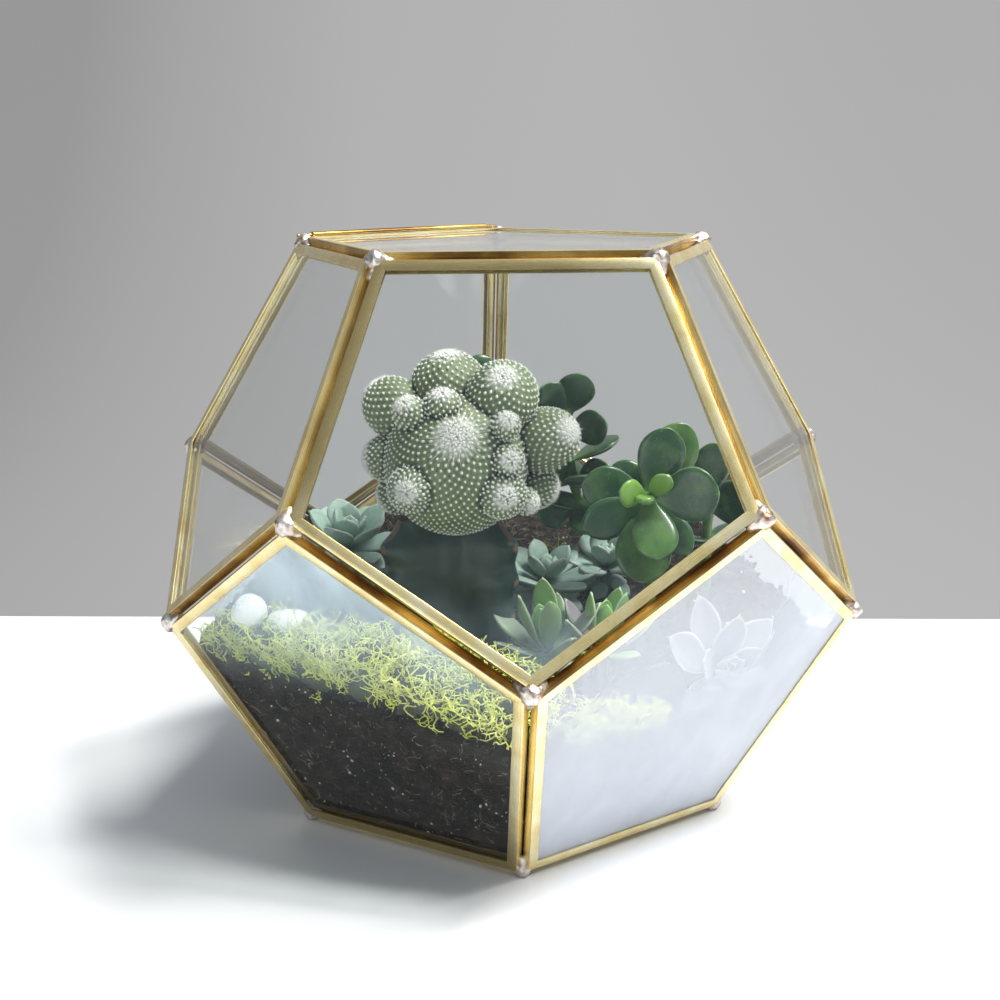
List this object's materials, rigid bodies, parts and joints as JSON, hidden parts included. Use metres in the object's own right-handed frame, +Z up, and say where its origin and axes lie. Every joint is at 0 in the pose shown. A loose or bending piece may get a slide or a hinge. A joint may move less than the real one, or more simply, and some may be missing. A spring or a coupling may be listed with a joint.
{
  "type": "glass plant terrarium",
  "caption": "Dodecahedron terrarium of brass-framed glass pentagons with a hinged upper pane, planted with a grafted cactus, jade plants, rosettes and reindeer moss.",
  "frame": {"origin": "centre of the bounding box at the underside of the base frame, on the surface the terrarium stands on", "axes": "+Z up, perpendicular to the roof and base panes; +Y from the front corner of the base towards its flat back edge; +X to the right of a viewer facing the front"},
  "size_m": [0.215, 0.2254, 0.1837],
  "materials": {
    "brass_came": "thin U-shaped brass came, softly brushed, pale champagne gold where lit",
    "solder": "blobs of solder, silvery with copper tints and dark flux pits",
    "pane_glass": "clear float glass with a faint blue-green edge and fine dust",
    "soil": "dark peat with fibres and white perlite specks",
    "stock_flesh": "waxy dark teal-green cactus skin with corky brown margins",
    "scion_flesh": "olive grey-green cactus skin with white areoles, spines and wool",
    "moss": "springy chartreuse reindeer lichen strands",
    "jade_leaf": "glossy dark green succulent leaves with pale rims",
    "pale_leaf": "powdery pale blue-green succulent leaves",
    "lilac_leaf": "powdery lilac-grey succulent leaves",
    "pointed_leaf": "green pointed succulent leaves with pale margins and reddish bases",
    "white_stone": "polished white pebble",
    "green_stone": "matt grey-green pebble"
  },
  "bodies": {
    "planted_holder": {"came_roof": "brass_came", "pane_roof": "pane_glass", "came_base": "brass_came", "pane_base": "pane_glass", "came_upper_front": "brass_came", "pane_upper_front": "pane_glass", "came_upper_right": "brass_came", "pane_upper_right": "pane_glass", "came_upper_back_right": "brass_came", "pane_upper_back_right": "pane_glass", "came_upper_left": "brass_came", "pane_upper_left": "pane_glass", "came_lower_front_left": "brass_came", "pane_lower_front_left": "pane_glass", "came_lower_front_right": "brass_came", "pane_lower_front_right": "pane_glass", "came_lower_right": "brass_came", "pane_lower_right": "pane_glass", "came_lower_back": "brass_came", "pane_lower_back": "pane_glass", "came_lower_left": "brass_came", "pane_lower_left": "pane_glass", "solder_roof_1": "solder", "solder_roof_2": "solder", "solder_roof_3": "solder", "solder_roof_4": "solder", "solder_roof_5": "solder", "solder_upper_1": "solder", "solder_upper_2": "solder", "solder_upper_3": "solder", "solder_upper_4": "solder", "solder_upper_5": "solder", "solder_lower_1": "solder", "solder_lower_2": "solder", "solder_lower_3": "solder", "solder_lower_4": "solder", "solder_lower_5": "solder", "solder_base_1": "solder", "solder_base_2": "solder", "solder_base_3": "solder", "solder_base_4": "solder", "solder_base_5": "solder", "hinge_wire": "brass_came", "soil": "soil", "cactus_stock": "stock_flesh", "cactus_scion": "scion_flesh", "moss": "moss", "jade_front": "jade_leaf", "jade_middle": "jade_leaf", "jade_back": "jade_leaf", "jade_right": "jade_leaf", "echeveria": "pale_leaf", "pale_rosette": "pale_leaf", "pink_rosette": "lilac_leaf", "pointed_rosettes": "pointed_leaf", "pebble_white_large": "white_stone", "pebble_white_small": "white_stone", "pebble_green": "green_stone"},
    "door": {"pane_door": "pane_glass", "came_door": "brass_came"}
  },
  "joints": [
    {"name": "door_hinge", "type": "hinge", "parent": "planted_holder", "child": "door", "pos_m": [-0.03304, 0.04535, 0.18166], "axis": [0.809, 0.5878, 0], "range_deg": [0, 230]}
  ]
}
